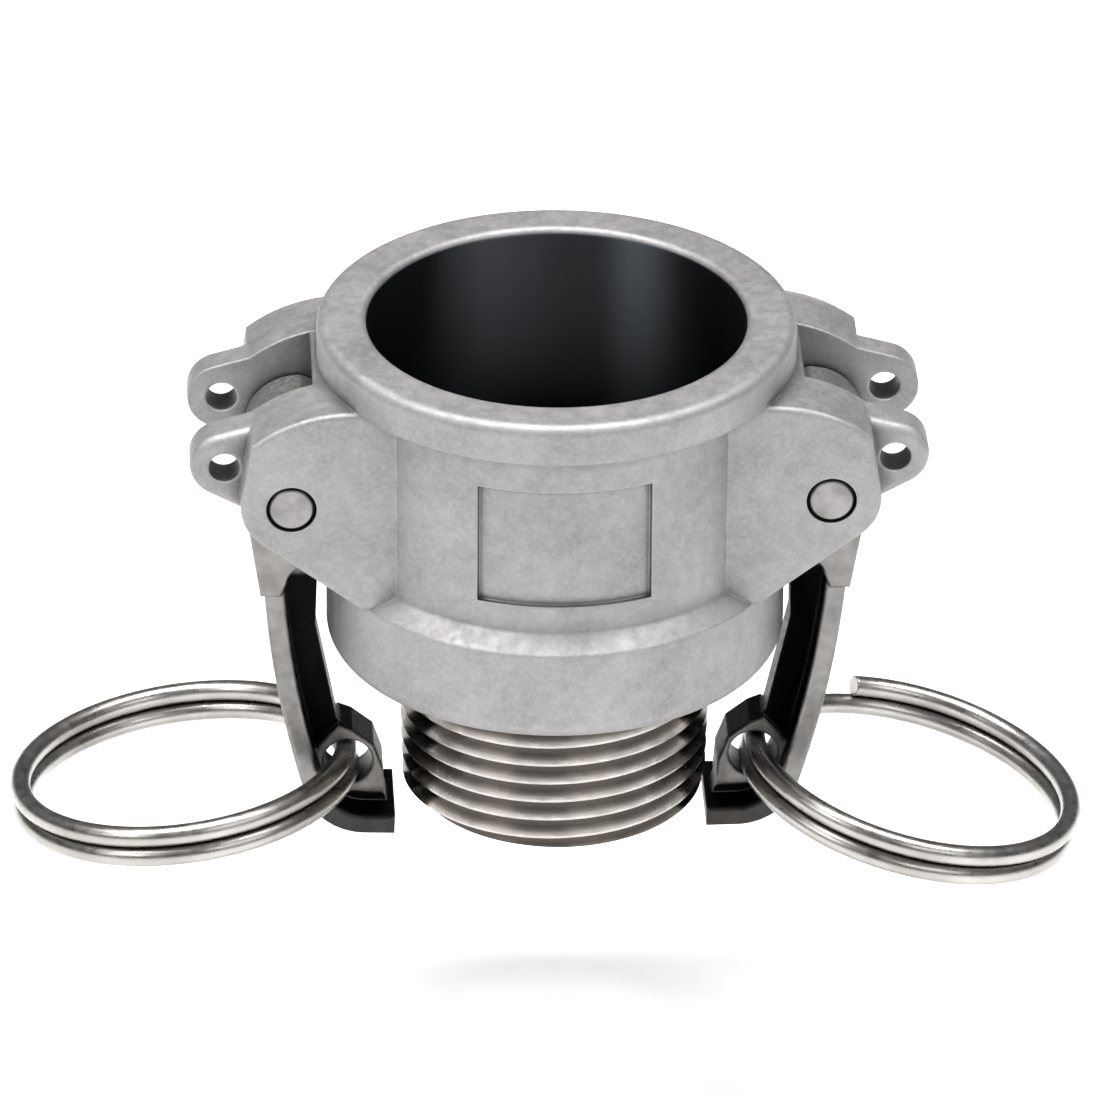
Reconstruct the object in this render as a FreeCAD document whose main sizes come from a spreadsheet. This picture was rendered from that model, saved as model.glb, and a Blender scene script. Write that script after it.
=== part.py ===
import FreeCAD, Part
import math
import os
import Sketcher

# A lever coupling for 3/4 inch hose and pipe: a socket with two cam arms above a taper thread.
# The origin is the centre of the thread's end face, +Z runs up the bore towards the socket's
# mouth, and the two arms hinge at +X and -X on pins that lie along Y. Sizes are in millimetres.
# An arm, a pin and a ring are each drawn in a frame of their own and then put in place.

DIMENSIONS = [
    # turned shape of the casting, from the thread's end up to the mouth
    ("thread_end_radius", 13.15),
    ("thread_growth", 1 / 32),
    ("thread_lead_in", 0.5),
    ("thread_pitch", 1.814),
    ("thread_depth", 1.15),
    ("thread_crest_flat", 0.22),
    ("thread_root_half", 0.06),
    ("thread_overrun", 0.3),
    ("thread_cut_top", 13.3),
    ("foot_z", 14.3),
    ("skirt_radius", 19.75),
    ("skirt_corner", 2.0),
    ("skirt_top_z", 22.8),
    ("shoulder_z", 24.1),
    ("barrel_radius", 18.0),
    ("rim_under_z", 41.4),
    ("rim_radius", 20.5),
    ("rim_round", 0.9),
    ("rim_under_round", 0.4),
    ("mouth_z", 45.1),
    ("mouth_round", 0.6),
    # socket and passage
    ("bore_radius", 16.25),
    ("seat_z", 17.3),
    ("groove_radius", 17.5),
    ("groove_top_z", 23.0),
    ("passage_radius", 9.6),
    ("passage_chamfer", 0.6),
    # ears that carry the arms
    ("pivot_x", 22.95),
    ("pivot_z", 32.75),
    ("ear_face_y", 11.2),
    ("ear_inner_y", 4.85),
    ("ear_nose_radius", 4.3),
    ("ear_top_inner_x", 17.4),
    ("ear_top_inner_z", 41.75),
    ("ear_top_outer_x", 26.3),
    ("ear_top_outer_z", 38.8),
    ("ear_top_radius", 13.5),
    ("ear_root_x", 17.0),
    ("ear_root_z", 22.8),
    ("ear_edge_round", 0.45),
    # thinner lobes with the holes for a locking pin
    ("lobe_x", 28.55),
    ("lobe_z", 35.2),
    ("lobe_radius", 2.95),
    ("lobe_root_low_x", 25.7),
    ("lobe_root_low_z", 30.3),
    ("lobe_root_high_x", 23.7),
    ("lobe_root_high_z", 39.6),
    ("lobe_face_y", 8.05),
    ("lobe_edge_round", 0.8),
    ("lock_hole_radius", 1.35),
    # space between the ears and the window that lets a cam into the bore
    ("gap_floor_z", 24.15),
    ("gap_wall_x", 17.3),
    ("window_low_z", 24.8),
    ("window_high_z", 37.0),
    # blank name panel on the front and the back of the barrel
    ("panel_half_width", 7.4),
    ("panel_low_z", 26.6),
    ("panel_high_z", 37.6),
    ("panel_depth", 0.5),
    # how far a cutter runs past what it cuts
    ("cutter_spare", 2.0),
    # pivot pins
    ("pin_radius", 2.15),
    ("pin_end_chamfer", 0.42),
    ("pin_bore_clearance", 0.05),
    # gasket
    ("gasket_inner_radius", 11.1),
    ("gasket_clearance", 0.05),
    ("gasket_thickness", 5.6),
    ("gasket_edge", 0.5),
    # cam arm, measured outward and upward from its pivot
    ("head_half_width", 4.6),
    ("flange_half_width", 4.3),
    ("web_half_width", 1.4),
    ("boss_half_width", 2.2),
    ("flange_thickness", 1.8),
    ("spine_bow", 95.0),
    ("spine_top_out", 3.35),
    ("spine_top_up", -5.6),
    ("spine_step_out", 1.8),
    ("spine_step_up", -12.2),
    ("spine_end_out", -2.1),
    ("spine_end_up", -31.3),
    ("toe_radius", 5.6),
    ("toe_flat_out", -7.4),
    ("toe_end_out", -10.2),
    ("toe_sole_up", -35.7),
    ("cam_nose_out", -6.0),
    ("cam_nose_up", 0.4),
    ("cam_nose_radius", 2.6),
    ("cam_top_out", -1.0),
    ("cam_top_up", 4.8),
    ("head_back_out", 3.7),
    ("head_back_up", 0.2),
    ("head_radius", 4.7),
    ("cam_under_out", -7.4),
    ("cam_under_up", -1.79),
    ("cam_root_up", -6.3),
    ("head_foot_out", -2.95),
    ("head_foot_up", -9.4),
    ("pocket_start_out", -1.2),
    ("pocket_corner_up", -10.8),
    ("pocket_radius", 1.5),
    ("web_top_up", -8.4),
    ("web_top_out", 1.5),
    ("web_edge_out", -2.8),
    ("web_knee_up", -16.5),
    ("web_bend_out", -3.7),
    ("web_bend_up", -20.5),
    ("web_waist_out", -4.9),
    ("web_waist_up", -25.8),
    ("web_hip_out", -5.9),
    ("web_hip_up", -26.8),
    ("web_foot_out", -8.5),
    ("web_foot_up", -30.4),
    ("web_sink", 0.9),
    ("boss_tip_out", -5.1),
    ("boss_tip_up", -26.1),
    ("boss_shoulder_out", -6.3),
    ("boss_shoulder_up", -26.55),
    ("boss_cheek_out", -8.2),
    ("boss_cheek_up", -28.0),
    ("boss_front_out", -9.1),
    ("boss_front_up", -30.4),
    ("boss_foot_out", -9.3),
    ("boss_foot_up", -32.9),
    ("boss_radius", 3.1),
    ("boss_low_bearing", -100.0),
    ("boss_high_bearing", 50.0),
    ("boss_edge_round", 0.25),
    ("eye_out", -6.0),
    ("eye_up", -29.7),
    ("eye_radius", 2.15),
    ("eye_round", 0.25),
    ("arm_edge_round", 0.35),
    ("flange_tail", 1.9),
    ("weld", 0.35),
    ("left_arm_open", 2.0),
    ("right_arm_open", 0.6),
    # split rings
    ("wire_radius", 0.9),
    ("coil_radius", 14.3),
    ("turn_gap", 0.05),
    ("step_angle", 24.0),
    # how each ring lies in its eye: droop about Y, swivel about Z, tip about X; then the bearing where
    # its wire starts to climb, and how far each free end stops from the climb
    ("right_ring_droop", 14.0),
    ("right_ring_swivel", -4.5),
    ("right_ring_tip", -1.0),
    ("right_ring_step", 135.0),
    ("right_ring_high_gap", 23.0),
    ("right_ring_low_gap", 8.0),
    ("left_ring_droop", 7.0),
    ("left_ring_swivel", 1.5),
    ("left_ring_tip", 4.5),
    ("left_ring_step", 198.0),
    ("left_ring_high_gap", 2.0),
    ("left_ring_low_gap", 2.0),
]

doc = FreeCAD.newDocument("camlock_coupling")
sheet = doc.addObject("Spreadsheet::Sheet", "dims")
for row, (alias, size) in enumerate(DIMENSIONS, start=1):
    sheet.set(f"A{row}", alias)
    sheet.set(f"B{row}", repr(float(size)))
    sheet.setAlias(f"B{row}", alias)
doc.recompute()


def value(expression):
    """The number an expression over the sheet's cells gives now."""
    number = sheet.evalExpression(expression)
    return float(getattr(number, "Value", number))


def bind(thing, settings):
    """Binds properties of an object to expressions over the sheet's cells."""
    for name, expression in settings.items():
        thing.setExpression(name, expression)


# Outlines ---------------------------------------------------------------------------------------


def arc_between(start, end, radius, turn):
    """The short arc of this radius from start to end, turning left or right on the way."""
    chord = end.sub(start)
    middle = (start + end) * 0.5
    reach = math.sqrt(max(radius**2 - (chord.Length / 2) ** 2, 0))
    side = FreeCAD.Vector(-chord.y, chord.x, 0).normalize()
    centre = middle + side * (reach if turn == "left" else -reach)
    first, last = (start, end) if turn == "left" else (end, start)
    circle = Part.Circle(centre, FreeCAD.Vector(0, 0, 1), radius)
    return Part.ArcOfCircle(circle, circle.parameter(first), circle.parameter(last))


def outline(sketch, corners):
    """Draws a closed loop. A corner is (across, up), or (across, up, radius, turn) where an arc arrives."""
    points = [FreeCAD.Vector(value(c[0]), value(c[1]), 0) for c in corners]
    ends = []
    for index, corner in enumerate(corners):
        start, end = points[index - 1], points[index]
        if len(corner) == 2:
            edge = sketch.addGeometry(Part.LineSegment(start, end), False)
            ends.append((edge, 1, 2))
            continue
        radius, turn = corner[2], corner[3]
        edge = sketch.addGeometry(arc_between(start, end, value(radius), turn), False)
        ends.append((edge, 1, 2) if turn == "left" else (edge, 2, 1))
        number = sketch.addConstraint(Sketcher.Constraint("Radius", edge, value(radius)))
        sketch.setExpression(f"Constraints[{number}]", radius)
    for index, (edge, _, tail) in enumerate(ends):
        after, head, _ = ends[(index + 1) % len(ends)]
        sketch.addConstraint(Sketcher.Constraint("Coincident", edge, tail, after, head))
        for kind, expression in zip(("DistanceX", "DistanceY"), corners[index][:2]):
            size = value(expression)
            number = sketch.addConstraint(Sketcher.Constraint(kind, -1, 1, edge, tail, size))
            sketch.setExpression(f"Constraints[{number}]", expression)


def touch_point(start, centre, radius, side):
    """Where a line from start touches a circle further out in X; side is below or above the circle."""
    run, rise = f"({centre[0]} - ({start[0]}))", f"({centre[1]} - ({start[1]}))"
    swing = f"asin({radius} / sqrt({run}^2 + {rise}^2))"
    if side == "below":
        slope = f"(atan({rise} / {run}) - {swing})"
        return f"{centre[0]} + {radius} * sin({slope})", f"{centre[1]} - {radius} * cos({slope})"
    slope = f"(atan({rise} / {run}) + {swing})"
    return f"{centre[0]} - {radius} * sin({slope})", f"{centre[1]} + {radius} * cos({slope})"


def new_body(name):
    """A PartDesign body and a sketch on its own XZ plane, where up is +Z."""
    body = doc.addObject("PartDesign::Body", name)
    plane = next(f for f in body.Origin.OriginFeatures if f.Role == "XZ_Plane")
    sketch = body.newObject("Sketcher::SketchObject", f"{name}_sketch")
    sketch.AttachmentSupport = [(plane, "")]
    sketch.MapMode = "FlatFace"
    return body, sketch


def turned(name, corners, angle=None):
    """A solid turned about Z from a profile of radius and height."""
    body, sketch = new_body(name)
    outline(sketch, corners)
    turn = body.newObject("PartDesign::Revolution", f"{name}_turn")
    turn.Profile = sketch
    turn.ReferenceAxis = (sketch, ["V_Axis"])
    if angle is None:
        turn.Angle = 360
    else:
        turn.Midplane = True
        turn.setExpression("Angle", angle)
    doc.recompute()
    return body


def plate(name, corners, half_width, edge_round=None):
    """A plate that reaches half_width each side of the XZ plane, its outline edges rounded."""
    body, sketch = new_body(name)
    outline(sketch, corners)
    pad = body.newObject("PartDesign::Pad", f"{name}_pad")
    pad.Profile = sketch
    pad.SideType = "Symmetric"
    pad.setExpression("Length", f"2 * {half_width}")
    doc.recompute()
    if edge_round:
        reach = value(half_width)
        edges = []
        for number, edge in enumerate(pad.Shape.Edges, start=1):
            box = edge.BoundBox
            on_face = box.YLength < 0.001 and abs(abs(box.YMin) - reach) < 0.001
            if on_face:
                edges.append(f"Edge{number}")
        rounding = body.newObject("PartDesign::Fillet", f"{name}_round")
        rounding.Base = (pad, edges)
        rounding.setExpression("Radius", edge_round)
        doc.recompute()
    return body


def cross_cylinder(name, radius, half_length, across="0", up="0"):
    """A cylinder along Y, centred on the XZ plane."""
    rod = doc.addObject("Part::Cylinder", name)
    rod.Placement = FreeCAD.Placement(FreeCAD.Vector(), FreeCAD.Rotation(FreeCAD.Vector(1, 0, 0), -90))
    bind(rod, {
        "Radius": radius,
        "Height": f"2 * ({half_length})",
        "Placement.Base.x": across,
        "Placement.Base.y": f"-({half_length})",
        "Placement.Base.z": up,
    })
    return rod


def block(name, low_x, high_x, half_width, low_z, high_z):
    """A box centred on the XZ plane."""
    box = doc.addObject("Part::Box", name)
    bind(box, {
        "Length": f"({high_x}) - ({low_x})",
        "Width": f"2 * ({half_width})",
        "Height": f"({high_z}) - ({low_z})",
        "Placement.Base.x": low_x,
        "Placement.Base.y": f"-({half_width})",
        "Placement.Base.z": low_z,
    })
    return box


def joined(name, pieces):
    fusion = doc.addObject("Part::MultiFuse", name)
    fusion.Shapes = pieces
    return fusion


def cut(name, base, tool):
    result = doc.addObject("Part::Cut", name)
    result.Base = base
    result.Tool = tool
    return result


# The casting ------------------------------------------------------------------------------------


def thread_radius(height):
    return f"(dims.thread_end_radius + dims.thread_growth * ({height}))"


def turned_blank():
    """The outside of the casting, solid right through."""
    corner_r = "dims.skirt_radius - dims.skirt_corner"
    return turned("turned_blank", [
        ("0", "0"),
        ("dims.thread_end_radius - dims.thread_lead_in", "0"),
        (thread_radius("dims.thread_lead_in"), "dims.thread_lead_in"),
        (thread_radius("dims.foot_z"), "dims.foot_z"),
        (corner_r, "dims.foot_z"),
        ("dims.skirt_radius", "dims.foot_z + dims.skirt_corner", "dims.skirt_corner", "left"),
        ("dims.skirt_radius", "dims.skirt_top_z"),
        ("dims.barrel_radius", "dims.shoulder_z"),
        ("dims.barrel_radius", "dims.rim_under_z"),
        ("dims.rim_radius - dims.rim_under_round", "dims.rim_under_z"),
        ("dims.rim_radius", "dims.rim_under_z + dims.rim_under_round", "dims.rim_under_round", "left"),
        ("dims.rim_radius", "dims.mouth_z - dims.rim_round"),
        ("dims.rim_radius - dims.rim_round", "dims.mouth_z", "dims.rim_round", "left"),
        ("0", "dims.mouth_z"),
    ])


def socket_cutter():
    """The passage, the gasket's seat and groove, the bore and its rounded mouth."""
    return turned("socket_cutter", [
        ("0", "-dims.cutter_spare"),
        ("dims.passage_radius + dims.passage_chamfer + dims.cutter_spare", "-dims.cutter_spare"),
        ("dims.passage_radius", "dims.passage_chamfer"),
        ("dims.passage_radius", "dims.seat_z"),
        ("dims.groove_radius", "dims.seat_z"),
        ("dims.groove_radius", "dims.groove_top_z"),
        ("dims.bore_radius", "dims.groove_top_z"),
        ("dims.bore_radius", "dims.mouth_z - dims.mouth_round"),
        ("dims.bore_radius + dims.mouth_round", "dims.mouth_z", "dims.mouth_round", "right"),
        ("dims.bore_radius + dims.mouth_round", "dims.mouth_z + dims.cutter_spare"),
        ("0", "dims.mouth_z + dims.cutter_spare"),
    ])


def ear_plates():
    """One outline right across the barrel gives both pairs of ears."""
    nose_x = "dims.pivot_x + dims.ear_nose_radius"
    root = ("dims.ear_root_x", "dims.ear_root_z")
    low_x, low_z = touch_point(root, ("dims.pivot_x", "dims.pivot_z"), "dims.ear_nose_radius", "below")
    return plate("ear_plates", [
        root,
        (low_x, low_z),
        (nose_x, "dims.pivot_z", "dims.ear_nose_radius", "left"),
        ("dims.ear_top_outer_x", "dims.ear_top_outer_z"),
        ("dims.ear_top_inner_x", "dims.ear_top_inner_z", "dims.ear_top_radius", "left"),
        ("-dims.ear_top_inner_x", "dims.ear_top_inner_z"),
        ("-dims.ear_top_outer_x", "dims.ear_top_outer_z", "dims.ear_top_radius", "left"),
        (f"-({nose_x})", "dims.pivot_z"),
        (f"-({low_x})", low_z, "dims.ear_nose_radius", "left"),
        ("-dims.ear_root_x", "dims.ear_root_z"),
    ], "dims.ear_face_y", "dims.ear_edge_round")


def lobe_plates(side):
    """The thinner lobes of one side; side is + or -."""
    turn = "left" if side == "+" else "right"
    hole = ("dims.lobe_x", "dims.lobe_z")
    low_root = ("dims.lobe_root_low_x", "dims.lobe_root_low_z")
    high_root = ("dims.lobe_root_high_x", "dims.lobe_root_high_z")
    corners = [
        ("dims.pivot_x", "dims.pivot_z"),
        low_root,
        touch_point(low_root, hole, "dims.lobe_radius", "below"),
        (*touch_point(high_root, hole, "dims.lobe_radius", "above"), "dims.lobe_radius", turn),
        high_root,
    ]
    signed = [(f"{side}({across})", *rest) for across, *rest in corners]
    name = "lobe_plates_right" if side == "+" else "lobe_plates_left"
    return plate(name, signed, "dims.lobe_face_y", "dims.lobe_edge_round")


def thread_cutter():
    """A taper V groove wound upward from below the thread's end."""
    spine = doc.addObject("Part::Helix", "thread_spine")
    start = "-1.5 * dims.thread_pitch"
    bind(spine, {
        "Pitch": "dims.thread_pitch",
        "Height": f"dims.thread_cut_top - ({start})",
        "Radius": thread_radius(start),
        "Placement.Base.z": start,
    })
    spine.Angle = math.degrees(math.atan(value("dims.thread_growth")))
    profile = doc.addObject("Sketcher::SketchObject", "thread_profile")
    profile.Placement = FreeCAD.Placement(FreeCAD.Vector(), FreeCAD.Rotation(FreeCAD.Vector(1, 0, 0), 90))
    half_mouth = "(dims.thread_pitch - dims.thread_crest_flat) / 2"
    slope = f"({half_mouth} - dims.thread_root_half) / dims.thread_depth"
    outer = f"{thread_radius(start)} + dims.thread_overrun"
    half_outer = f"({half_mouth} + dims.thread_overrun * {slope})"
    root = f"{thread_radius(start)} - dims.thread_depth"
    outline(profile, [
        (outer, f"{start} - {half_outer}"),
        (outer, f"{start} + {half_outer}"),
        (root, f"{start} + dims.thread_root_half"),
        (root, f"{start} - dims.thread_root_half"),
    ])
    groove = doc.addObject("Part::Sweep", "thread_cutter")
    groove.Sections = [profile]
    groove.Spine = (spine, ["Edge1"])
    groove.Solid = True
    groove.Frenet = True
    return groove


def panel_cutter(name, turn):
    """A shallow curved panel sunk into the barrel, centred on the front at turn -90 or the back at 90."""
    half_angle = "asin(dims.panel_half_width / dims.barrel_radius)"
    floor = "dims.barrel_radius - dims.panel_depth"
    panel = turned(name, [
        (floor, "dims.panel_low_z"),
        ("dims.barrel_radius + dims.cutter_spare", "dims.panel_low_z"),
        ("dims.barrel_radius + dims.cutter_spare", "dims.panel_high_z"),
        (floor, "dims.panel_high_z"),
    ], f"2 * {half_angle}")
    panel.Placement.Rotation = FreeCAD.Rotation(FreeCAD.Vector(0, 0, 1), turn)
    return panel


def coupler_body():
    blank = joined("casting_blank", [turned_blank(), ear_plates(), lobe_plates("+"), lobe_plates("-")])
    cutters = [socket_cutter(), panel_cutter("front_panel", -90), panel_cutter("back_panel", 90)]
    far_x = "dims.lobe_x + dims.lobe_radius + dims.cutter_spare"
    gap_heights = ("dims.gap_floor_z", "dims.rim_under_z")
    window_heights = ("dims.window_low_z", "dims.window_high_z")
    past_y = "dims.ear_face_y + dims.cutter_spare"
    for side, name in (("+", "right"), ("-", "left")):
        for kind, near, far, heights in (
            ("gap", "dims.gap_wall_x", far_x, gap_heights),
            ("window", "dims.bore_radius - dims.cutter_spare", "dims.gap_wall_x + dims.weld", window_heights),
        ):
            low_x, high_x = (near, far) if side == "+" else (f"-({far})", f"-({near})")
            cutters.append(block(f"{kind}_{name}", low_x, high_x, "dims.ear_inner_y", *heights))
        for kind, radius, across, up in (
            ("pin_hole", "dims.pin_radius", "dims.pivot_x", "dims.pivot_z"),
            ("lock_hole", "dims.lock_hole_radius", "dims.lobe_x", "dims.lobe_z"),
        ):
            cutters.append(cross_cylinder(f"{kind}_{name}", radius, past_y, f"{side}{across}", up))
    smooth = cut("casting_unthreaded", blank, joined("casting_cutters", cutters))
    return cut("coupler_body", smooth, thread_cutter())


# Small turned pieces ----------------------------------------------------------------------------


def socket_gasket():
    outer = "dims.groove_radius - dims.gasket_clearance"
    top = "dims.seat_z + dims.gasket_thickness"
    return turned("socket_gasket", [
        ("dims.gasket_inner_radius", "dims.seat_z"),
        (outer, "dims.seat_z"),
        (outer, f"{top} - dims.gasket_edge"),
        (f"{outer} - dims.gasket_edge", top),
        ("dims.gasket_inner_radius + dims.gasket_edge", top),
        ("dims.gasket_inner_radius", f"{top} - dims.gasket_edge"),
    ])


def pivot_pin(name, side):
    """A plain pin with both ends chamfered, flush with the ears."""
    rod = cross_cylinder(f"{name}_rod", "dims.pin_radius", "dims.ear_face_y")
    doc.recompute()
    rims = [n for n, edge in enumerate(rod.Shape.Edges, start=1) if edge.BoundBox.YLength < 0.001]
    chamfer = value("dims.pin_end_chamfer")
    pin = doc.addObject("Part::Chamfer", name)
    pin.Base = rod
    pin.Edges = [(number, chamfer, chamfer) for number in rims]
    bind(pin, {"Placement.Base.x": f"{side}dims.pivot_x", "Placement.Base.z": "dims.pivot_z"})
    return pin


# Cam arms ---------------------------------------------------------------------------------------


def spine_inside(point):
    """A point of the spine's outer line, moved in by the flange's thickness."""
    run_out = "(dims.spine_step_out - dims.spine_end_out)"
    run_up = "(dims.spine_step_up - dims.spine_end_up)"
    length = f"sqrt({run_out}^2 + {run_up}^2)"
    across = f"dims.spine_{point}_out - dims.flange_thickness * {run_up} / {length}"
    up = f"dims.spine_{point}_up + dims.flange_thickness * {run_out} / {length}"
    return across, up


def arm_flange(name):
    """The wide strip down the arm's back, curled in at its end to make the toe."""
    tail = "dims.spine_step_up + dims.flange_tail"
    return plate(f"{name}_flange", [
        ("dims.spine_step_out", "dims.spine_step_up", "dims.spine_bow", "left"),
        ("dims.spine_step_out", tail),
        (f"{spine_inside('step')[0]} + dims.weld", tail),
        spine_inside("step"),
        (*spine_inside("end"), "dims.spine_bow - dims.flange_thickness", "right"),
        ("dims.toe_flat_out", "dims.toe_sole_up + dims.flange_thickness",
         "dims.toe_radius - dims.flange_thickness", "right"),
        ("dims.toe_end_out", "dims.toe_sole_up + dims.flange_thickness"),
        ("dims.toe_end_out", "dims.toe_sole_up"),
        ("dims.toe_flat_out", "dims.toe_sole_up"),
        ("dims.spine_end_out", "dims.spine_end_up", "dims.toe_radius", "left"),
    ], "dims.flange_half_width", "dims.arm_edge_round")


def arm_head(name):
    """The cam and the neck below it, narrow enough to turn between the ears."""
    inside_out = spine_inside("step")[0]
    return plate(f"{name}_head", [
        ("dims.spine_step_out + dims.weld", "dims.spine_step_up"),
        ("dims.spine_top_out", "dims.spine_top_up"),
        ("dims.head_back_out", "dims.head_back_up"),
        ("dims.cam_top_out", "dims.cam_top_up", "dims.head_radius", "left"),
        ("dims.cam_nose_out", "dims.cam_nose_up + dims.cam_nose_radius"),
        ("dims.cam_under_out", "dims.cam_under_up", "dims.cam_nose_radius", "left"),
        ("dims.head_foot_out", "dims.cam_root_up"),
        ("dims.head_foot_out", "dims.head_foot_up"),
        ("dims.pocket_start_out", "dims.head_foot_up"),
        (f"{inside_out} - dims.weld / 2", "dims.pocket_corner_up", "dims.pocket_radius", "right"),
        (f"{inside_out} + dims.weld", "dims.spine_step_up"),
    ], "dims.head_half_width", "dims.arm_edge_round")


def arm_web(name):
    """The thin wall inside the flange, from the head down to the toe, its outer edges sunk in the flange."""
    return plate(f"{name}_web", [
        ("dims.web_edge_out", "dims.web_top_up"),
        ("dims.web_edge_out", "dims.web_knee_up"),
        ("dims.web_bend_out", "dims.web_bend_up"),
        ("dims.web_waist_out", "dims.web_waist_up"),
        ("dims.web_hip_out", "dims.web_hip_up"),
        ("dims.web_foot_out", "dims.web_foot_up"),
        ("dims.toe_end_out + dims.weld", "dims.toe_sole_up + dims.web_sink"),
        ("dims.toe_flat_out", "dims.toe_sole_up + dims.web_sink"),
        ("dims.spine_end_out - dims.web_sink", "dims.spine_end_up",
         "dims.toe_radius - dims.web_sink", "left"),
        ("dims.spine_step_out - dims.web_sink", "dims.spine_step_up"),
        ("dims.web_top_out", "dims.web_top_up"),
    ], "dims.web_half_width")


def arm_boss(name):
    """The thick pad round the ring's eye, drawn out to a point on the web."""
    low, high = (
        (
            f"dims.eye_out + dims.boss_radius * cos(dims.boss_{end}_bearing)",
            f"dims.eye_up + dims.boss_radius * sin(dims.boss_{end}_bearing)",
        )
        for end in ("low", "high")
    )
    return plate(f"{name}_boss", [
        ("dims.boss_front_out", "dims.boss_front_up"),
        ("dims.boss_foot_out", "dims.boss_foot_up"),
        low,
        (*high, "dims.boss_radius", "left"),
        ("dims.boss_tip_out", "dims.boss_tip_up"),
        ("dims.boss_shoulder_out", "dims.boss_shoulder_up"),
        ("dims.boss_cheek_out", "dims.boss_cheek_up"),
    ], "dims.boss_half_width", "dims.boss_edge_round")


def eye_cutter(name):
    """The ring's eye, through the boss, with both its edges rounded."""
    wide, half = "dims.eye_radius + dims.eye_round", "dims.boss_half_width"
    eye = turned(name, [
        ("0", f"-{half} - dims.cutter_spare"),
        (wide, f"-{half} - dims.cutter_spare"),
        (wide, f"-{half}"),
        ("dims.eye_radius", f"dims.eye_round - {half}", "dims.eye_round", "right"),
        ("dims.eye_radius", f"{half} - dims.eye_round"),
        (wide, half, "dims.eye_round", "right"),
        (wide, f"{half} + dims.cutter_spare"),
        ("0", f"{half} + dims.cutter_spare"),
    ])
    eye.Placement.Rotation = FreeCAD.Rotation(FreeCAD.Vector(1, 0, 0), 90)
    bind(eye, {"Placement.Base.x": "dims.eye_out", "Placement.Base.z": "dims.eye_up"})
    return eye


def cam_arm(name, facing, opening):
    """One arm; facing turns it about Z to its side and opening swings it out about its pin."""
    blank = joined(f"{name}_casting", [arm_head(name), arm_flange(name), arm_web(name), arm_boss(name)])
    holes = joined(f"{name}_holes", [
        cross_cylinder(f"{name}_pivot_bore", "dims.pin_radius + dims.pin_bore_clearance", "dims.ear_face_y"),
        eye_cutter(f"{name}_eye"),
    ])
    arm = cut(name, blank, holes)
    arm.Placement = arm_placement(facing, opening)
    return arm


def arm_placement(facing, opening):
    side = FreeCAD.Rotation(FreeCAD.Vector(0, 0, 1), facing)
    swing = FreeCAD.Rotation(FreeCAD.Vector(0, 1, 0), -value(opening))
    pivot = side.multVec(FreeCAD.Vector(value("dims.pivot_x"), 0, value("dims.pivot_z")))
    return FreeCAD.Placement(pivot, side * swing)


# Split rings ------------------------------------------------------------------------------------


def ring_turn(name, height, angle, start):
    """One flat turn of wire round Z, from start through angle."""
    turn = doc.addObject("Part::Torus", name)
    bind(turn, {
        "Radius1": "dims.coil_radius",
        "Radius2": "dims.wire_radius",
        "Angle3": angle,
        "Placement.Base.z": height,
    })
    turn.Placement.Rotation = FreeCAD.Rotation(FreeCAD.Vector(0, 0, 1), start)
    return turn


def ring_step(name, low, rise, start):
    """The stretch of wire that climbs from the lower turn to the upper one."""
    radius, wire, sweep = value("dims.coil_radius"), value("dims.wire_radius"), value("dims.step_angle")
    stations = 8
    points = []
    for index in range(stations + 1):
        share = index / stations
        bearing = math.radians(start + sweep * share)
        height = low + rise * share * share * (3 - 2 * share)
        points.append(FreeCAD.Vector(radius * math.cos(bearing), radius * math.sin(bearing), height))
    ends = [math.radians(start), math.radians(start + sweep)]
    tangents = [FreeCAD.Vector(-math.sin(a), math.cos(a), 0) for a in ends]
    curve = Part.BSplineCurve()
    curve.interpolate(Points=points, InitialTangent=tangents[0], FinalTangent=tangents[1])
    path = Part.Wire([curve.toShape()])
    section = Part.Wire([Part.makeCircle(wire, points[0], tangents[0])])
    step = doc.addObject("Part::Feature", name)
    step.Shape = path.makePipeShell([section], True, True)
    return step


def pull_ring(side, arm, facing):
    """A two-turn split ring hung in an arm's eye; its wire climbs once, between the two free ends."""
    name = f"pull_ring_{side}"
    words = ("droop", "swivel", "tip", "step", "low_gap")
    droop, swivel, tip, step, low_gap = (value(f"dims.{side}_ring_{word}") for word in words)
    rise = "2 * dims.wire_radius + dims.turn_gap"
    past_step = step + value("dims.step_angle")
    lower_sweep, upper_sweep = (
        f"360 - dims.step_angle - dims.{side}_ring_{end}_gap" for end in ("low", "high")
    )
    lower = ring_turn(f"{name}_lower_turn", f"-({rise}) / 2", lower_sweep, past_step + low_gap)
    upper = ring_turn(f"{name}_upper_turn", f"({rise}) / 2", upper_sweep, past_step)
    climb = ring_step(f"{name}_step", -value(rise) / 2, value(rise), step)
    ring = joined(name, [lower, upper, climb])
    eye = arm.Placement.multVec(FreeCAD.Vector(value("dims.eye_out"), 0, value("dims.eye_up")))
    lie = FreeCAD.Rotation(FreeCAD.Vector(0, 0, 1), facing)
    for axis, angle in (((0, 1, 0), droop), ((0, 0, 1), swivel), ((1, 0, 0), tip)):
        lie = lie * FreeCAD.Rotation(FreeCAD.Vector(*axis), angle)
    centre = eye + lie.multVec(FreeCAD.Vector(value("dims.coil_radius"), 0, 0))
    ring.Placement = FreeCAD.Placement(centre, lie)
    return ring


# Build and write --------------------------------------------------------------------------------

casting = coupler_body()
gasket = socket_gasket()
pins = [pivot_pin("pivot_pin_right", "+"), pivot_pin("pivot_pin_left", "-")]
right_arm = cam_arm("cam_arm_right", 0, "dims.right_arm_open")
left_arm = cam_arm("cam_arm_left", 180, "dims.left_arm_open")
right_ring = pull_ring("right", right_arm, 0)
left_ring = pull_ring("left", left_arm, 180)
doc.recompute()

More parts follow.
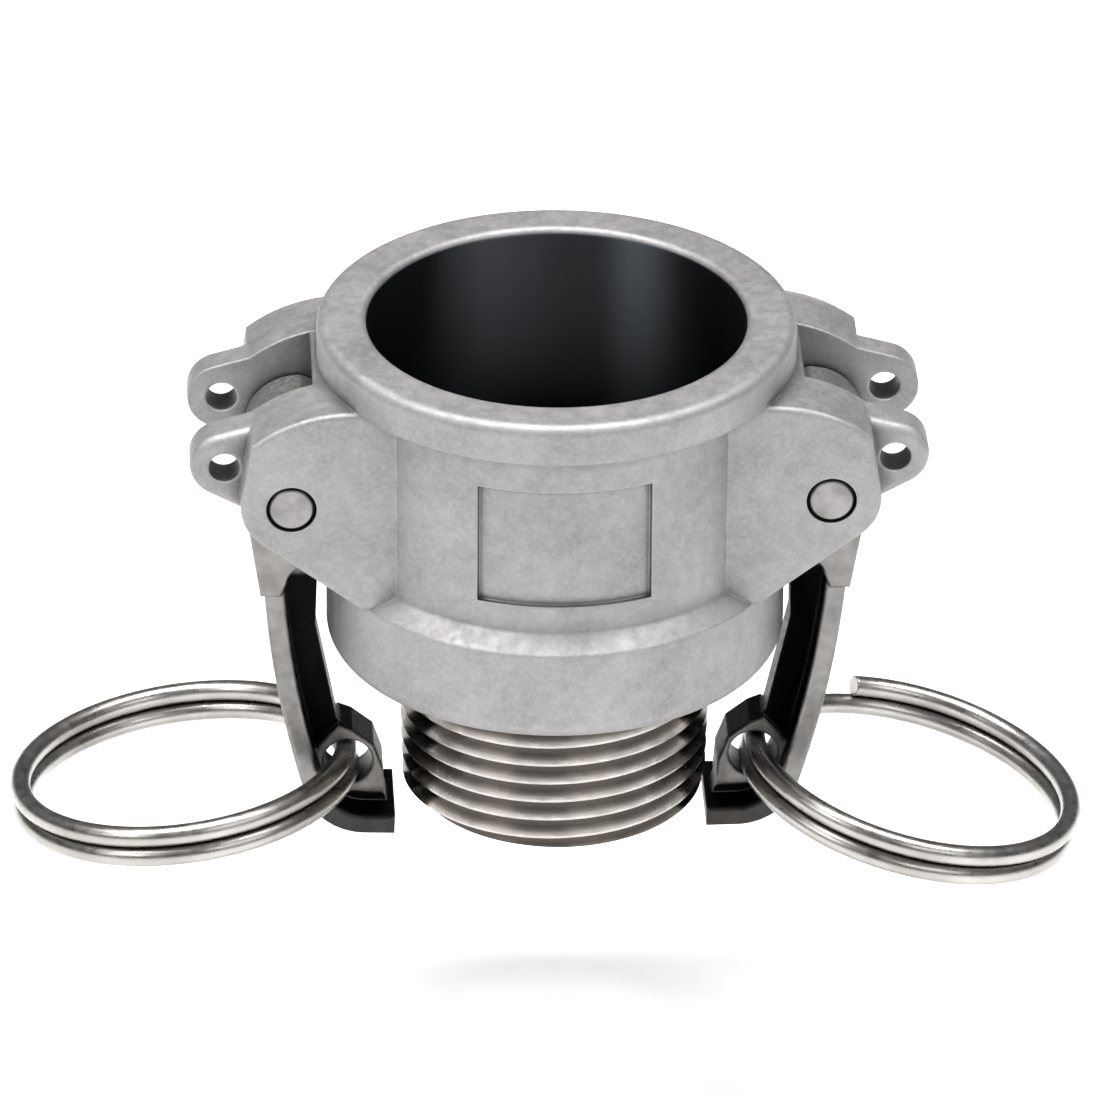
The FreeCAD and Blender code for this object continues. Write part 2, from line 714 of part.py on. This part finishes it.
for thing in doc.Objects:
    if {"Invalid", "Error"} & set(thing.State):
        raise RuntimeError(f"{thing.Label} failed: {thing.State}")

for fusion in doc.findObjects("Part::MultiFuse"):
    if fusion.Shape.Volume < max(piece.Shape.Volume for piece in fusion.Shapes):
        raise RuntimeError(f"{fusion.Label} lost one of its pieces")

os.makedirs("parts", exist_ok=True)
for node in [casting, gasket, *pins, right_arm, left_arm, right_ring, left_ring]:
    shape = node.Shape
    if shape.isNull() or not shape.isValid():
        raise RuntimeError(f"{node.Label} has no valid shape")
    shape.exportStep(f"parts/{node.Label}.step")
    if len(shape.Solids) != 1:
        raise RuntimeError(f"{node.Label} is {len(shape.Solids)} solids instead of one")
    print(node.Label, round(shape.Volume, 1), "mm3")
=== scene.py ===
import math

import bpy
from mathutils import Matrix, Vector


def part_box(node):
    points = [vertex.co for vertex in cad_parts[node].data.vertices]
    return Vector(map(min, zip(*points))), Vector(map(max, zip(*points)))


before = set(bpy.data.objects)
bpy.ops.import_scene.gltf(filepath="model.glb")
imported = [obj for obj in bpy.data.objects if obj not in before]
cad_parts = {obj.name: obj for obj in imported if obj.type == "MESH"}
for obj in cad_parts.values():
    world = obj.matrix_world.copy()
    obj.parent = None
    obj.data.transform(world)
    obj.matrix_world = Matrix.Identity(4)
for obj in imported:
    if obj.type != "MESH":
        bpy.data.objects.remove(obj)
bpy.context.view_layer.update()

# Places on the part, in metres -------------------------------------------------------------------


def reach(node, low, high):
    """The largest distance from the Z axis among a node's points between two heights."""
    points = (vertex.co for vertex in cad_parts[node].data.vertices)
    return max(math.hypot(point.x, point.y) for point in points if low <= point.z <= high)


body_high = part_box("coupler_body")[1]
pin_low, pin_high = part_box("pivot_pin_right")
ring_low, ring_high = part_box("pull_ring_right")

MOUTH_Z = body_high[2]
SEAT_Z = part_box("socket_gasket")[0][2]
BORE_EDGE_RADIUS = 0.01665
PASSAGE_RADIUS = 0.0096

PIVOT_X = (pin_low[0] + pin_high[0]) / 2
PIVOT_Z = (pin_low[2] + pin_high[2]) / 2
PIN_RADIUS = (pin_high[0] - pin_low[0]) / 2
LOCK_X, LOCK_Z = 0.02855, 0.0352
LOCK_HOLE_RADIUS = 0.00135

EYE_Z = PIVOT_Z - 0.0297
NECK_FOOT_Z = PIVOT_Z - 0.0118
TOE_Z = EYE_Z - 0.0036
FLANGE_HALF_WIDTH = 0.0043
BOSS_HALF_WIDTH = 0.0022
FLOOR_Z = EYE_Z - (ring_high[1] - ring_low[1])  # a ring hanging straight down just clears it

PITCH = 0.001814
TAPER = 1 / 32
THREAD_TOP_Z = 0.0137
CREST_RADIUS = reach("coupler_body", 0.002, 0.004) - 0.003 * TAPER  # at the thread's end face


def crest_phase():
    """Where the thread's crests lie within one pitch, as a share of a turn."""
    first_z, last_z, crest_depth = 0.003, 0.010, 0.00012
    across, along = 0.0, 0.0
    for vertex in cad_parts["coupler_body"].data.vertices:
        x, y, z = vertex.co
        if first_z < z < last_z and math.hypot(x, y) > CREST_RADIUS + z * TAPER - crest_depth:
            turn = 2 * math.pi * (z / PITCH) - math.atan2(y, x)
            across += math.cos(turn)
            along += math.sin(turn)
    return math.atan2(along, across) / (2 * math.pi)


CREST_PHASE = crest_phase()

# Tones in linear light ---------------------------------------------------------------------------

CAST_GREY = [(0.3, (0.24, 0.232, 0.234)), (0.7, (0.32, 0.309, 0.312))]
CAST_GRAIN = (0.45, 0.435, 0.435)
CAST_SHADE = (0.03, 0.028, 0.028)
CAST_EDGE_HIGHLIGHT = (0.75, 0.73, 0.72)
BORE_STEEL = [(0.35, (0.4, 0.44, 0.49)), (0.65, (0.6, 0.65, 0.72))]
BORE_SHADE = (0.003, 0.0033, 0.004)
THREAD_ROOT_SHADE_CREST_HIGHLIGHT = [(0.0, (0.1, 0.088, 0.08)), (0.55, (0.25, 0.222, 0.2)), (1.0, (0.53, 0.495, 0.47))]
THREAD_RUB = (0.2, 0.18, 0.165)
ARM_GREY = [(0.35, (0.17, 0.162, 0.155)), (0.65, (0.26, 0.25, 0.24))]
ARM_EDGE_HIGHLIGHT = (0.6, 0.58, 0.56)
ARM_HEAD = (0.42, 0.405, 0.4)
CHANNEL_SHADE_BLACK = [(0.35, (0.001, 0.001, 0.0011)), (0.7, (0.005, 0.0047, 0.0045))]
CHANNEL_EDGE_HIGHLIGHT = (0.25, 0.24, 0.23)
BOSS_SHADE_GREY = [(0.3, (0.08, 0.076, 0.072)), (0.7, (0.2, 0.19, 0.18))]
TOE_SHADE_BLACK = (0.012, 0.012, 0.012)
TOE_EDGE_HIGHLIGHT = (0.4, 0.385, 0.37)
PIN_GREY = [(0.3, (0.19, 0.183, 0.18)), (0.7, (0.31, 0.3, 0.295))]
PIN_CHAMFER_SHADE = (0.022, 0.021, 0.021)
WIRE_GREY = [(0.3, (0.3, 0.282, 0.264)), (0.7, (0.46, 0.445, 0.43))]
WIRE_GAP_SHADE = (0.03, 0.026, 0.022)
RUBBER_BLACK = [(0.35, (0.006, 0.006, 0.006)), (0.75, (0.02, 0.02, 0.021))]
FLOOR_WHITE = (0.9, 0.9, 0.9)

# Node building -----------------------------------------------------------------------------------


class Shader:
    """A material and short ways to add nodes to it."""

    def __init__(self, name):
        self.material = bpy.data.materials.new(name)
        self.material.use_nodes = True
        self.tree = self.material.node_tree
        self.tree.nodes.clear()
        self.surface = self.tree.nodes.new("ShaderNodeBsdfPrincipled")
        output = self.tree.nodes.new("ShaderNodeOutputMaterial")
        self.tree.links.new(self.surface.outputs[0], output.inputs[0])
        place = self.tree.nodes.new("ShaderNodeTexCoord")
        self.place = place.outputs["Object"]
        split = self.tree.nodes.new("ShaderNodeSeparateXYZ")
        self.tree.links.new(self.place, split.inputs[0])
        self.x, self.y, self.z = split.outputs
        facing = self.tree.nodes.new("ShaderNodeSeparateXYZ")
        self.tree.links.new(place.outputs["Normal"], facing.inputs[0])
        self.facing_x = facing.outputs[0]

    def plug(self, socket, value):
        if isinstance(value, bpy.types.NodeSocket):
            self.tree.links.new(value, socket)
        else:
            socket.default_value = value

    def math(self, operation, *values):
        node = self.tree.nodes.new("ShaderNodeMath")
        node.operation = operation
        for socket, value in zip(node.inputs, values):
            self.plug(socket, value)
        return node.outputs[0]

    def ramp(self, value, low, high, start=0.0, end=1.0):
        """Start below low, end above high, and smooth between them."""
        node = self.tree.nodes.new("ShaderNodeMapRange")
        node.interpolation_type = "SMOOTHSTEP"
        for socket, entry in zip(node.inputs, (value, low, high, start, end)):
            self.plug(socket, entry)
        return node.outputs[0]

    def radius(self, x=0.0, z=None):
        """Distance from the Z axis, or with z from the line along Y through (+-x, z)."""
        if z is None:
            return self.math("SQRT", self.math("ADD", self.square(self.x), self.square(self.y)))
        across = self.math("SUBTRACT", self.math("ABSOLUTE", self.x), x)
        up = self.math("SUBTRACT", self.z, z)
        return self.math("SQRT", self.math("ADD", self.square(across), self.square(up)))

    def square(self, value):
        return self.math("MULTIPLY", value, value)

    def all_of(self, first, *others):
        """The product of several masks."""
        for other in others:
            first = self.math("MULTIPLY", first, other)
        return first

    def outside(self, mask):
        return self.math("SUBTRACT", 1.0, mask)

    def between(self, value, low, high):
        """1 while value lies between low and high, with soft ends inside them."""
        soft = (high - low) / 3
        return self.all_of(self.ramp(value, low, low + soft), self.ramp(value, high - soft, high, 1.0, 0.0))

    def noise(self, scale, detail=3.0, stretch=(1.0, 1.0, 1.0), rough=0.55):
        spread = self.tree.nodes.new("ShaderNodeMapping")
        spread.inputs["Scale"].default_value = stretch
        self.tree.links.new(self.place, spread.inputs[0])
        node = self.tree.nodes.new("ShaderNodeTexNoise")
        node.inputs["Scale"].default_value = scale
        node.inputs["Detail"].default_value = detail
        node.inputs["Roughness"].default_value = rough
        self.tree.links.new(spread.outputs[0], node.inputs["Vector"])
        return node.outputs[0]

    def colour(self, stops, value):
        """A colour ramp over value; stops are (place, (r, g, b)) in linear light."""
        node = self.tree.nodes.new("ShaderNodeValToRGB")
        ramp = node.color_ramp
        while len(ramp.elements) < len(stops):
            ramp.elements.new(0.5)
        for element, (place, tone) in zip(ramp.elements, stops):
            element.position = place
            element.color = (*tone, 1.0)
        self.plug(node.inputs[0], value)
        return node.outputs[0]

    def mix(self, share, first, second):
        """A colour that goes from first to second."""
        node = self.tree.nodes.new("ShaderNodeMix")
        node.data_type = "RGBA"
        self.plug(node.inputs[0], share)
        for socket, value in ((node.inputs[6], first), (node.inputs[7], second)):
            self.plug(socket, (*value, 1.0) if isinstance(value, tuple) else value)
        return node.outputs[2]

    def blend(self, share, first, second):
        """A number that goes from first to second."""
        node = self.tree.nodes.new("ShaderNodeMix")
        self.plug(node.inputs[0], share)
        self.plug(node.inputs[2], first)
        self.plug(node.inputs[3], second)
        return node.outputs[0]

    def cavity(self, distance):
        """How open the surface is within distance: 0 in a tight corner and 1 on an open face."""
        node = self.tree.nodes.new("ShaderNodeAmbientOcclusion")
        node.samples = 8
        node.inputs["Distance"].default_value = distance
        return node.outputs["AO"]

    def edge(self, radius):
        """0 on a flat face, rising to 1 along sharp edges."""
        bevel = self.tree.nodes.new("ShaderNodeBevel")
        bevel.samples = 6
        bevel.inputs["Radius"].default_value = radius
        shape = self.tree.nodes.new("ShaderNodeNewGeometry")
        dot = self.tree.nodes.new("ShaderNodeVectorMath")
        dot.operation = "DOT_PRODUCT"
        self.tree.links.new(bevel.outputs[0], dot.inputs[0])
        self.tree.links.new(shape.outputs["Normal"], dot.inputs[1])
        return self.ramp(dot.outputs["Value"], 0.72, 0.999, 1.0, 0.0)

    def relief(self, height, strength, distance, soften=0.0, share=1.0, other=None):
        """Bumps the surface by height; where share is below 1, other takes the softened normal's place."""
        bump = self.tree.nodes.new("ShaderNodeBump")
        bump.inputs["Distance"].default_value = distance
        self.plug(bump.inputs["Strength"], strength)
        self.plug(bump.inputs["Height"], height)
        if soften:
            bevel = self.tree.nodes.new("ShaderNodeBevel")
            bevel.samples = 6
            bevel.inputs["Radius"].default_value = soften
            base = bevel.outputs[0]
            if other is not None:
                mixed = self.tree.nodes.new("ShaderNodeMix")
                mixed.data_type = "VECTOR"
                self.plug(mixed.inputs[0], share)
                self.tree.links.new(other, mixed.inputs[4])
                self.tree.links.new(bevel.outputs[0], mixed.inputs[5])
                base = mixed.outputs[1]
            self.tree.links.new(base, bump.inputs["Normal"])
        self.tree.links.new(bump.outputs[0], self.surface.inputs["Normal"])

    def turned_normal(self, lean):
        """The normal of a threaded rod: straight out from the Z axis, leaning up and down by the helix."""
        angle = self.math("DIVIDE", self.math("ARCTAN2", self.y, self.x), 2 * math.pi)
        turns = self.math("SUBTRACT", self.math("DIVIDE", self.z, PITCH), angle)
        phase = self.math("MULTIPLY", self.math("SUBTRACT", turns, CREST_PHASE), 2 * math.pi)
        radius = self.radius()
        normal = self.tree.nodes.new("ShaderNodeCombineXYZ")
        self.plug(normal.inputs[0], self.math("DIVIDE", self.x, radius))
        self.plug(normal.inputs[1], self.math("DIVIDE", self.y, radius))
        self.plug(normal.inputs[2], self.math("MULTIPLY", self.math("SINE", phase), lean))
        return normal.outputs[0]

    def turning_marks(self):
        """The direction of lathe marks, round the Z axis."""
        node = self.tree.nodes.new("ShaderNodeTangent")
        node.direction_type = "RADIAL"
        node.axis = "Z"
        return node.outputs[0]

    def finish(self, **sockets):
        for name, value in sockets.items():
            socket = self.surface.inputs[name.replace("_", " ")]
            self.plug(socket, (*value, 1.0) if isinstance(value, tuple) else value)
        return self.material


def wear(nodes, material):
    for name in nodes:
        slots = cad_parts[name].data.materials
        slots.clear()
        slots.append(material)


# Materials ---------------------------------------------------------------------------------------


def casting_material():
    """Bead-blasted casting outside; the bore, seat, passage and thread are machined."""
    s = Shader("blasted_casting")
    radius = s.radius()
    # where each finish lies
    above_thread = s.ramp(s.z, THREAD_TOP_Z, THREAD_TOP_Z + 0.0004)
    beside_passage = s.ramp(radius, PASSAGE_RADIUS + 0.0008, PASSAGE_RADIUS + 0.0009)
    above_end_face = s.ramp(s.z, 0.0, 0.0001)
    thread = s.all_of(s.outside(above_thread), beside_passage, above_end_face)
    inside = s.ramp(radius, BORE_EDGE_RADIUS, BORE_EDGE_RADIUS + 0.00005, 1.0, 0.0)
    below_mouth = s.ramp(s.z, MOUTH_Z - 0.0006, MOUTH_Z - 0.00035, 1.0, 0.0)
    bore = s.all_of(inside, below_mouth, s.outside(thread))
    turned = s.math("MAXIMUM", bore, thread)
    # blasted skin: mottled, with painted shade in corners and creases and a painted highlight along edges
    patches = s.noise(160.0, 3.0)
    fine = s.noise(2600.0, 4.0, rough=0.7)
    grain = s.noise(900.0, 3.0)
    skin = s.colour(CAST_GREY, patches)
    skin = s.mix(s.ramp(fine, 0.35, 0.7, 0.0, 0.3), skin, CAST_GRAIN)
    # painted shade in corners and creases, kept lighter at the lock holes
    corners = s.ramp(s.cavity(0.0028), 0.35, 0.92, 0.85, 0.0)
    clear_of_holes = s.ramp(
        s.radius(LOCK_X, LOCK_Z), LOCK_HOLE_RADIUS + 0.00005, LOCK_HOLE_RADIUS + 0.00035, 0.4, 1.0
    )
    skin = s.mix(s.all_of(corners, clear_of_holes), skin, CAST_SHADE)
    # painted highlight along sharp edges
    skin = s.mix(s.all_of(s.edge(0.0003), 0.35), skin, CAST_EDGE_HIGHLIGHT)
    # machined bore: upright honing marks under a painted shade that deepens towards the seat
    honing = s.noise(95.0, 2.0, (1.0, 1.0, 0.04))
    bore_depth_shade = s.ramp(s.z, SEAT_Z + 0.008, MOUTH_Z, 0.99, 0.8)
    bore_tone = s.mix(bore_depth_shade, s.colour(BORE_STEEL, honing), BORE_SHADE)
    # cut thread: painted shade in the roots and a painted highlight along the crests
    rub = s.noise(700.0, 3.0, (1.0, 1.0, 3.0))
    crest_radius = s.math("ADD", s.math("MULTIPLY", s.z, TAPER), CREST_RADIUS)
    depth = s.math("SUBTRACT", crest_radius, radius)
    thread_tone = s.colour(THREAD_ROOT_SHADE_CREST_HIGHLIGHT, s.ramp(depth, 0.00005, 0.0009, 1.0, 0.0))
    thread_tone = s.mix(s.ramp(rub, 0.4, 0.75, 0.0, 0.2), thread_tone, THREAD_RUB)
    # all three together
    tone = s.mix(thread, s.mix(bore, skin, bore_tone), thread_tone)
    rough = s.blend(bore, s.ramp(grain, 0.3, 0.7, 0.5, 0.62), 0.36)
    rough = s.blend(thread, rough, s.ramp(rub, 0.3, 0.7, 0.26, 0.34))
    pits = s.math("ADD", s.math("MULTIPLY", fine, 0.5), grain)
    strength = s.blend(turned, 0.3, 0.0)
    s.relief(
        pits, strength, 0.00006, soften=0.00035,
        share=s.outside(thread), other=s.turned_normal(0.34),
    )
    return s.finish(
        Base_Color=tone, Roughness=rough, Metallic=s.blend(turned, 0.72, 1.0),
        Anisotropic=s.all_of(turned, 0.95), Anisotropic_Rotation=0.25, Tangent=s.turning_marks(),
    )


def arm_material():
    """Tumbled casting: painted shade makes the channel inside the flange and the toe near black and the
    boss dark grey; a painted highlight brightens the edges.
    """
    s = Shader("tumbled_arm")
    # where each finish lies
    off_middle = s.math("ABSOLUTE", s.y)
    below_neck = s.ramp(s.z, NECK_FOOT_Z, NECK_FOOT_Z + 0.001, 1.0, 0.0)
    outward = s.math("MULTIPLY", s.facing_x, s.math("SIGN", s.x))
    within_flange = s.ramp(off_middle, FLANGE_HALF_WIDTH - 0.00045, FLANGE_HALF_WIDTH - 0.0003, 1.0, 0.0)
    shaded_channel = s.all_of(within_flange, below_neck, s.ramp(outward, 0.3, 0.6, 1.0, 0.0))
    boss = s.between(off_middle, BOSS_HALF_WIDTH - 0.00025, BOSS_HALF_WIDTH + 0.0002)
    toe_shade = s.ramp(s.z, TOE_Z, TOE_Z + 0.0012, 0.88, 0.0)
    head = s.ramp(s.z, PIVOT_Z - 0.004, PIVOT_Z - 0.001)
    edge = s.edge(0.0003)
    # tones
    patches = s.noise(600.0, 4.0, rough=0.7)
    fine = s.noise(2400.0, 3.0, rough=0.7)
    drawn = s.noise(260.0, 3.0, (1.0, 1.0, 0.25))
    # painted shade: near black in the channel, a lighter dark grey on the boss
    channel_shade_tone = s.mix(boss, s.colour(CHANNEL_SHADE_BLACK, drawn), s.colour(BOSS_SHADE_GREY, drawn))
    # painted highlight along edges in the channel
    channel_shade_tone = s.mix(s.all_of(edge, 0.15), channel_shade_tone, CHANNEL_EDGE_HIGHLIGHT)
    # painted highlight along the flange's edges
    skin = s.mix(s.all_of(edge, 0.4), s.colour(ARM_GREY, patches), ARM_EDGE_HIGHLIGHT)
    skin = s.mix(head, skin, ARM_HEAD)
    # painted shade over the toe
    tone = s.mix(toe_shade, s.mix(shaded_channel, skin, channel_shade_tone), TOE_SHADE_BLACK)
    # painted highlight along the toe's edges
    tone = s.mix(s.all_of(edge, toe_shade, 0.6), tone, TOE_EDGE_HIGHLIGHT)
    s.relief(s.math("ADD", fine, patches), 0.25, 0.00005, soften=0.0003)
    rough = s.blend(shaded_channel, s.ramp(fine, 0.3, 0.7, 0.36, 0.5), s.ramp(fine, 0.3, 0.7, 0.4, 0.55))
    return s.finish(Base_Color=tone, Roughness=rough, Metallic=1.0)


def pin_material():
    """A bright sawn end inside a chamfer darkened by painted shade."""
    s = Shader("pin_ends")
    chamfer_shade = s.ramp(s.radius(PIVOT_X, PIVOT_Z), PIN_RADIUS - 0.0004, PIN_RADIUS - 0.00025)
    patches = s.noise(500.0, 3.0)
    lines = s.noise(1100.0, 3.0, (0.15, 1.0, 1.0))
    # painted shade in the chamfer round the pin's end
    tone = s.mix(chamfer_shade, s.colour(PIN_GREY, patches), PIN_CHAMFER_SHADE)
    s.relief(lines, 0.3, 0.00004, soften=0.00015)
    return s.finish(Base_Color=tone, Roughness=s.ramp(lines, 0.3, 0.7, 0.36, 0.5), Metallic=0.8)


def ring_material():
    """Polished spring wire with faint drawing marks and painted shade between its turns."""
    s = Shader("polished_wire")
    marks = s.noise(900.0, 3.0)
    patches = s.noise(140.0, 2.0)
    # painted shade in the tight gaps between the wire's turns
    coil_gap_shade = s.ramp(s.cavity(0.0011), 0.25, 0.75, 0.9, 0.0)
    tone = s.mix(coil_gap_shade, s.colour(WIRE_GREY, patches), WIRE_GAP_SHADE)
    s.relief(marks, 0.12, 0.00003, soften=0.0003)
    return s.finish(Base_Color=tone, Roughness=s.ramp(marks, 0.3, 0.7, 0.26, 0.36), Metallic=1.0)


def gasket_material():
    """Smooth black rubber with a faint bloom."""
    s = Shader("black_rubber")
    bloom = s.noise(350.0, 4.0)
    s.relief(s.noise(1500.0, 3.0), 0.25, 0.00005)
    return s.finish(
        Base_Color=s.colour(RUBBER_BLACK, bloom), Roughness=s.ramp(bloom, 0.3, 0.7, 0.45, 0.65),
        Metallic=0.0,
    )


wear(["coupler_body"], casting_material())
wear(["cam_arm_right", "cam_arm_left"], arm_material())
wear(["pivot_pin_right", "pivot_pin_left"], pin_material())
wear(["pull_ring_right", "pull_ring_left"], ring_material())
wear(["socket_gasket"], gasket_material())


# Floor, light and camera -------------------------------------------------------------------------


LIGHTS = [
    # name, place, (width, height), watts
    ("upper_left", (-0.28, -0.05, 0.88), (0.30, 0.7), 10.5),
    ("upper_right", (0.22, -0.05, 0.88), (0.26, 0.7), 9.0),
    ("front_left", (-0.62, -0.47, 0.5), (0.4, 0.3), 2.0),
    ("front_right", (0.38, -0.69, 0.5), (0.6, 0.3), 1.8),
]
LIT_POINT = (0.0, 0.0, 0.025)
ROOM_STRENGTH = 0.85
ROOM_TONES = [(0.0, 0.5), (0.06, 0.08), (0.3, 0.12), (0.62, 0.18)]  # by height above the horizon


def pale_floor():
    half_side = 3.0
    corners = [(x * half_side, y * half_side, FLOOR_Z) for x, y in ((-1, -1), (1, -1), (1, 1), (-1, 1))]
    mesh = bpy.data.meshes.new("floor")
    mesh.from_pydata(corners, [], [(0, 1, 2, 3)])
    floor = bpy.data.objects.new("floor", mesh)
    bpy.context.scene.collection.objects.link(floor)
    s = Shader("pale_floor")
    material = s.finish(
        Base_Color=FLOOR_WHITE, Roughness=0.9, Emission_Color=FLOOR_WHITE, Emission_Strength=0.12
    )
    mesh.materials.append(material)


def soft_light(name, place, size, watts):
    """A rectangular lamp turned towards the part."""
    lamp = bpy.data.lights.new(name, "AREA")
    lamp.shape = "RECTANGLE"
    lamp.size, lamp.size_y = size
    lamp.energy = watts
    holder = bpy.data.objects.new(name, lamp)
    holder.location = place
    holder.rotation_euler = (Vector(LIT_POINT) - Vector(place)).to_track_quat("-Z", "Y").to_euler()
    bpy.context.scene.collection.objects.link(holder)


def pale_room():
    """Pale below the horizon and dim above it, so polished metal has something to reflect."""
    world = bpy.data.worlds.new("room")
    world.use_nodes = True
    tree = world.node_tree
    background = tree.nodes["Background"]
    background.inputs["Strength"].default_value = ROOM_STRENGTH
    way = tree.nodes.new("ShaderNodeTexCoord")
    split = tree.nodes.new("ShaderNodeSeparateXYZ")
    ramp = tree.nodes.new("ShaderNodeValToRGB")
    while len(ramp.color_ramp.elements) < len(ROOM_TONES):
        ramp.color_ramp.elements.new(0.5)
    for element, (height, tone) in zip(ramp.color_ramp.elements, ROOM_TONES):
        element.position = height
        element.color = (tone, tone, tone, 1.0)
    tree.links.new(way.outputs["Generated"], split.inputs[0])
    tree.links.new(split.outputs[2], ramp.inputs[0])
    tree.links.new(ramp.outputs[0], background.inputs["Color"])
    bpy.context.scene.world = world


def camera():
    """A long lens looking down at the front of the part, a few degrees to one side."""
    distance = 0.946
    azimuth = math.radians(-2.8)
    elevation = math.radians(28.77)
    roll = math.radians(0.37)
    target_right, target_z = -0.00044, 0.0223
    sensor_width = 36.0
    lens_over_sensor = 11.60 * 0.946 / 1.1
    right = Vector((math.cos(azimuth), math.sin(azimuth), 0.0))
    level = Vector((-math.sin(azimuth), math.cos(azimuth), 0.0))
    forward = level * math.cos(elevation) - Vector((0, 0, 1)) * math.sin(elevation)
    up = level * math.sin(elevation) + Vector((0, 0, 1)) * math.cos(elevation)
    rolled_right = right * math.cos(roll) + up * math.sin(roll)
    rolled_up = up * math.cos(roll) - right * math.sin(roll)
    eye = right * target_right + Vector((0, 0, target_z)) - forward * distance
    turn = Matrix((rolled_right, rolled_up, -forward)).transposed()
    lens = bpy.data.cameras.new("camera")
    lens.sensor_width = sensor_width
    lens.lens = sensor_width * lens_over_sensor
    lens.clip_start, lens.clip_end = 0.05, 20.0
    holder = bpy.data.objects.new("camera", lens)
    holder.matrix_world = Matrix.Translation(eye) @ turn.to_4x4()
    bpy.context.scene.collection.objects.link(holder)
    bpy.context.scene.camera = holder


pale_floor()
pale_room()
for light in LIGHTS:
    soft_light(*light)
camera()
bpy.context.scene.view_settings.view_transform = "Standard"
